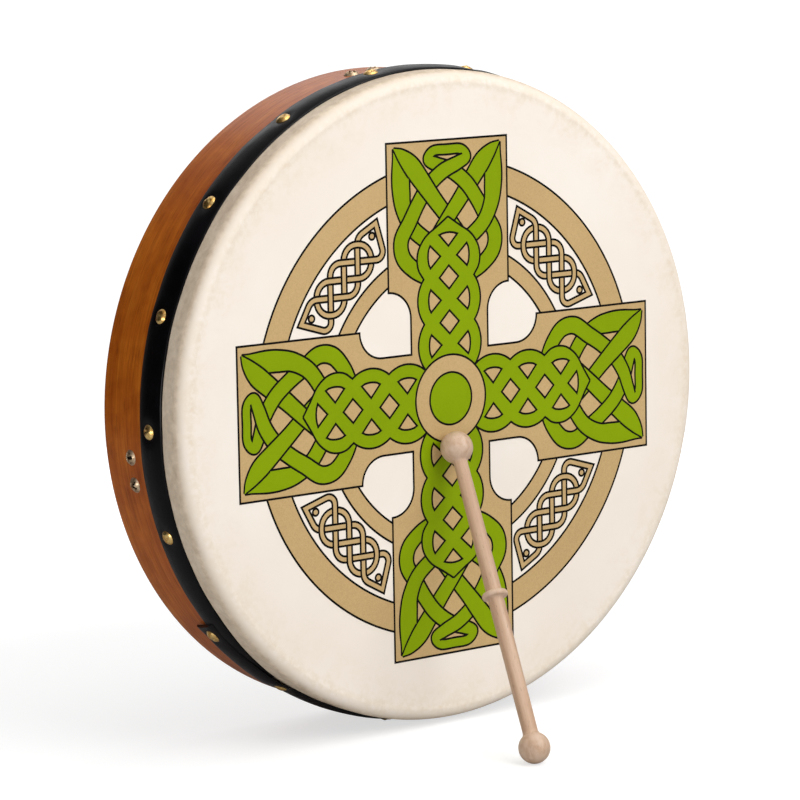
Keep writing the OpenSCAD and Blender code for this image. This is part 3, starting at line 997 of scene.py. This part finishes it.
def make_studio():
    """A white floor and surround, dark at one end, with the lamps of LIGHTS."""
    floor = bpy.data.meshes.new("floor")
    rim = arc(0, 0, FLOOR_R, 0, 360, 3)[:-1]
    floor.from_pydata([(x, y, 0) for x, y in rim], [], [list(range(len(rim)))])
    shade = Shader("floor", Roughness=0.7)
    grain = shade.noise(shade.place(), 3.0)
    shade.set("Base Color", shade.ramp(grain, (0.0, 0.44), (1.0, 0.46)))
    shade.set("Emission Color", (1.0, 1.0, 1.0))
    away = shade.node("VectorMath", {0: shade.node("TexCoord").outputs["Object"]}, operation="LENGTH")
    glow = shade.node("MapRange", {"Value": away.outputs["Value"], "From Min": FLOOR_FADE[0],
                                   "From Max": FLOOR_FADE[1], "To Min": FLOOR_GLOW,
                                   "To Max": 1.0}).outputs[0]
    seen = shade.node("LightPath").outputs["Is Camera Ray"]
    shade.set("Emission Strength", shade.sum(seen, glow, "MULTIPLY"))
    floor.materials.append(shade.material)
    floor_obj = bpy.data.objects.new("floor", floor)
    bpy.context.scene.collection.objects.link(floor_obj)

    world = bpy.data.worlds.new("studio")
    bpy.context.scene.world = world
    world.use_nodes = True
    nodes, links = world.node_tree.nodes, world.node_tree.links
    glow, plain = nodes["Background"], nodes.new("ShaderNodeBackground")
    for background in (glow, plain):
        background.inputs["Color"].default_value = (1, 1, 1, 1)
    plain.inputs["Strength"].default_value = 1.1
    facing = nodes.new("ShaderNodeVectorMath")
    facing.operation = "DOT_PRODUCT"
    facing.inputs[1].default_value = Vector(DARK_SIDE).normalized()
    links.new(nodes.new("ShaderNodeTexCoord").outputs["Generated"], facing.inputs[0])
    fade = nodes.new("ShaderNodeMapRange")
    fade.interpolation_type = "SMOOTHSTEP"
    for socket, value in zip(fade.inputs[1:5], (0.4, 0.75, AMBIENT, 0.02)):
        socket.default_value = value
    links.new(facing.outputs["Value"], fade.inputs[0])
    links.new(fade.outputs[0], glow.inputs["Strength"])
    seen, mixer = nodes.new("ShaderNodeLightPath"), nodes.new("ShaderNodeMixShader")
    links.new(seen.outputs["Is Camera Ray"], mixer.inputs[0])
    links.new(glow.outputs[0], mixer.inputs[1])
    links.new(plain.outputs[0], mixer.inputs[2])
    links.new(mixer.outputs[0], nodes["World Output"].inputs["Surface"])

    for name, at, aim, size, watts in LIGHTS:
        data = bpy.data.lights.new(name, "AREA")
        data.shape, data.size, data.size_y, data.energy = "RECTANGLE", *size, watts
        lamp = bpy.data.objects.new(name, data)
        lamp.location = at
        lamp.rotation_mode = "QUATERNION"
        lamp.rotation_quaternion = (Vector(aim) - Vector(at)).to_track_quat("-Z", "Y")
        bpy.context.scene.collection.objects.link(lamp)
    bpy.context.scene.view_settings.view_transform = "Standard"


AMBIENT = 0.44                           # strength of the white surround
DARK_SIDE = (-0.8, 0.55, 0.0)            # direction of the unlit end of the studio
FLOOR_R = 1.35                           # metres
FLOOR_GLOW = 0.635                       # lifts the floor to white, without lighting the drum,
FLOOR_FADE = (0.45, 1.2)                 # and rises to 1 between these distances, in metres
# name, place, aim, (width, height), watts
LIGHTS = (
    ("overhead", (0.4, -0.5, 2.1), (0.0, 0.0, 0.2), (2.0, 1.6), 21),
    ("front", (0.6, -2.0, 1.5), (0.0, 0.0, 0.3), (1.8, 1.6), 30),
    ("left", (-1.8, -0.7, 0.2), (-0.2, 0.05, 0.10), (1.0, 0.4), 10.5),
    ("back", (1.2, 2.1, 1.6), (0.0, 0.0, 0.35), (1.8, 1.2), 7.5),
)


def make_camera():
    """The camera looks at the drum from its left, a little above it."""
    camera = bpy.data.objects.new("camera", bpy.data.cameras.new("camera"))
    right = Vector((0.79361, -0.60817, -0.01794))
    up = Vector((0.10218, 0.10416, 0.98930))
    axes = Matrix((right, up, -Vector((0.59979, 0.78694, -0.14481)))).transposed().to_4x4()
    camera.matrix_world = Matrix.Translation(place((-1532.9, -1952.5, 362.7))) @ axes
    camera.data.lens, camera.data.sensor_width = 161.1, 36.0
    camera.data.clip_start, camera.data.clip_end = 0.05, 50.0
    bpy.context.scene.collection.objects.link(camera)
    bpy.context.scene.camera = camera


make_shell()
make_skin()
make_band()
make_tacks()
make_screws()
finish_crossbars()
make_print()
make_beater()
make_studio()
make_camera()
